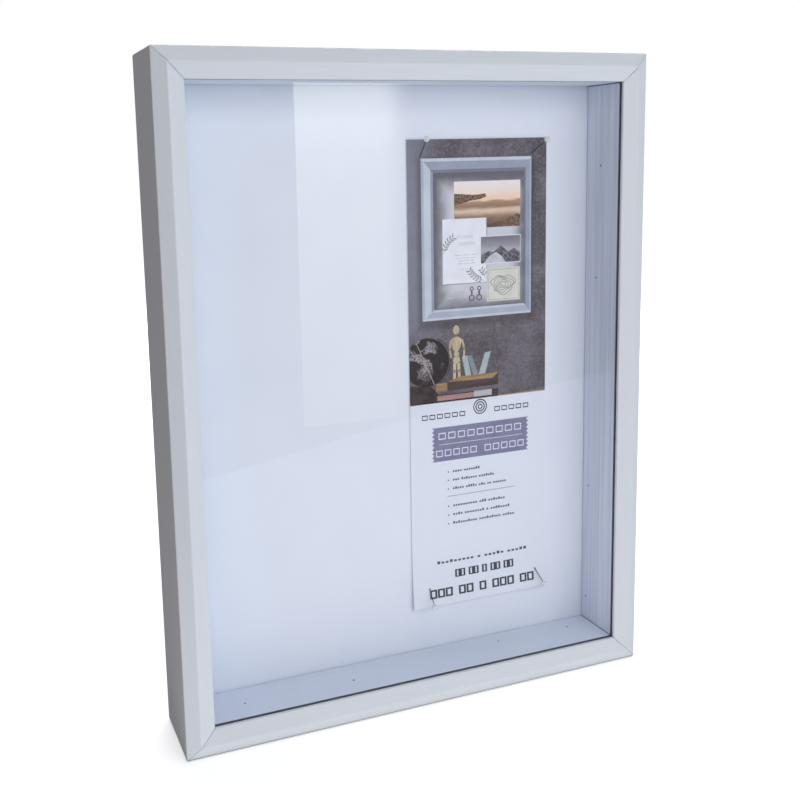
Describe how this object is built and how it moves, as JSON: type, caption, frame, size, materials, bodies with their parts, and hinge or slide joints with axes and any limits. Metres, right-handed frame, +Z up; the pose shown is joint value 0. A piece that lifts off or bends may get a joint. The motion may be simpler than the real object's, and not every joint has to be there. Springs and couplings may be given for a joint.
{
  "type": "shadow box",
  "caption": "Deep mitred display frame with a glass front, lined walls, and a pin-cushion back panel held by turn buttons.",
  "frame": {"origin": "middle of the base, on the surface that the box stands on", "axes": "+Z up, front (glass) faces -Y, +X to the right seen from the front"},
  "size_m": [0.343, 0.0649, 0.4445],
  "materials": {
    "frame_foil": "pale cool grey satin foil over fibreboard moulding, soft grain print",
    "glass": "clear, polished",
    "liner_paper": "matt pale blue-grey paper over strips",
    "cover_fabric": "fine white plain weave, stretched",
    "foam": "open-cell foam, unseen",
    "fibreboard": "brown hardboard, matt",
    "card": null,
    "zinc": "zinc-plated steel",
    "steel": "dark steel",
    "pin": "steel shank with a pearly ball head"
  },
  "bodies": {
    "frame": {"bottom_rail": "frame_foil", "top_rail": "frame_foil", "left_stile": "frame_foil", "right_stile": "frame_foil", "glass_pane": "glass", "liner_bottom": "liner_paper", "liner_top": "liner_paper", "liner_left": "liner_paper", "liner_right": "liner_paper", "brad_bottom_1": "steel", "brad_bottom_2": "steel", "brad_bottom_3": "steel", "brad_bottom_4": "steel", "brad_top_1": "steel", "brad_top_2": "steel", "brad_top_3": "steel", "brad_top_4": "steel", "brad_left_1": "steel", "brad_left_2": "steel", "brad_left_3": "steel", "brad_left_4": "steel", "brad_right_1": "steel", "brad_right_2": "steel", "brad_right_3": "steel", "brad_right_4": "steel", "corner_nail_top_left": "steel", "corner_nail_top_right": "steel", "corner_nail_bottom_left": "steel", "corner_nail_bottom_right": "steel", "button_screw_bottom_a": "zinc", "button_screw_bottom_b": "zinc", "button_screw_top_a": "zinc", "button_screw_top_b": "zinc", "button_screw_left_a": "zinc", "button_screw_left_b": "zinc", "button_screw_right_a": "zinc", "button_screw_right_b": "zinc", "hanger_portrait": "zinc", "hanger_landscape": "zinc", "hanger_nail_portrait_1": "zinc", "hanger_nail_portrait_2": "zinc", "hanger_nail_landscape_1": "zinc", "hanger_nail_landscape_2": "zinc"},
    "back_panel": {"back_board": "fibreboard", "cushion_foam": "foam", "cushion_fabric": "cover_fabric", "insert_card": "card"},
    "turn_button_bottom_a": {"turn_button_bottom_a": "zinc"},
    "turn_button_bottom_b": {"turn_button_bottom_b": "zinc"},
    "turn_button_top_a": {"turn_button_top_a": "zinc"},
    "turn_button_top_b": {"turn_button_top_b": "zinc"},
    "turn_button_left_a": {"turn_button_left_a": "zinc"},
    "turn_button_left_b": {"turn_button_left_b": "zinc"},
    "turn_button_right_a": {"turn_button_right_a": "zinc"},
    "turn_button_right_b": {"turn_button_right_b": "zinc"},
    "pin_top_left": {"pin_top_left": "pin"},
    "pin_top_right": {"pin_top_right": "pin"},
    "pin_bottom_left": {"pin_bottom_left": "pin"},
    "pin_bottom_right": {"pin_bottom_right": "pin"}
  },
  "joints": [
    {"name": "back_panel_slide", "type": "slide", "parent": "frame", "child": "back_panel", "axis": [0, 1, 0], "range_m": [0, 0.08]},
    {"name": "turn_button_bottom_a_turn", "type": "hinge", "parent": "frame", "child": "turn_button_bottom_a", "pos_m": [-0.09, 0.0293, 0.0069], "axis": [0, -1, 0], "range_deg": [0, 90]},
    {"name": "turn_button_bottom_b_turn", "type": "hinge", "parent": "frame", "child": "turn_button_bottom_b", "pos_m": [0.09, 0.0293, 0.0069], "axis": [0, 1, 0], "range_deg": [0, 90]},
    {"name": "turn_button_top_a_turn", "type": "hinge", "parent": "frame", "child": "turn_button_top_a", "pos_m": [0.09, 0.0293, 0.4376], "axis": [0, -1, 0], "range_deg": [0, 90]},
    {"name": "turn_button_top_b_turn", "type": "hinge", "parent": "frame", "child": "turn_button_top_b", "pos_m": [-0.09, 0.0293, 0.4376], "axis": [0, 1, 0], "range_deg": [0, 90]},
    {"name": "turn_button_left_a_turn", "type": "hinge", "parent": "frame", "child": "turn_button_left_a", "pos_m": [-0.16455, 0.0293, 0.34725], "axis": [0, -1, 0], "range_deg": [0, 90]},
    {"name": "turn_button_left_b_turn", "type": "hinge", "parent": "frame", "child": "turn_button_left_b", "pos_m": [-0.16455, 0.0293, 0.09725], "axis": [0, 1, 0], "range_deg": [0, 90]},
    {"name": "turn_button_right_a_turn", "type": "hinge", "parent": "frame", "child": "turn_button_right_a", "pos_m": [0.16455, 0.0293, 0.09725], "axis": [0, -1, 0], "range_deg": [0, 90]},
    {"name": "turn_button_right_b_turn", "type": "hinge", "parent": "frame", "child": "turn_button_right_b", "pos_m": [0.16455, 0.0293, 0.34725], "axis": [0, 1, 0], "range_deg": [0, 90]},
    {"name": "pin_top_left_pull", "type": "slide", "parent": "back_panel", "child": "pin_top_left", "axis": [0.032, -0.6399, 0.7678], "range_m": [0, 0.012]},
    {"name": "pin_top_right_pull", "type": "slide", "parent": "back_panel", "child": "pin_top_right", "axis": [0.5057, -0.595, 0.6247], "range_m": [0, 0.012]},
    {"name": "pin_bottom_left_pull", "type": "slide", "parent": "back_panel", "child": "pin_bottom_left", "axis": [0.0116, -0.5812, -0.8137], "range_m": [0, 0.012]},
    {"name": "pin_bottom_right_pull", "type": "slide", "parent": "back_panel", "child": "pin_bottom_right", "axis": [0.3158, -0.5263, -0.7895], "range_m": [0, 0.012]}
  ]
}
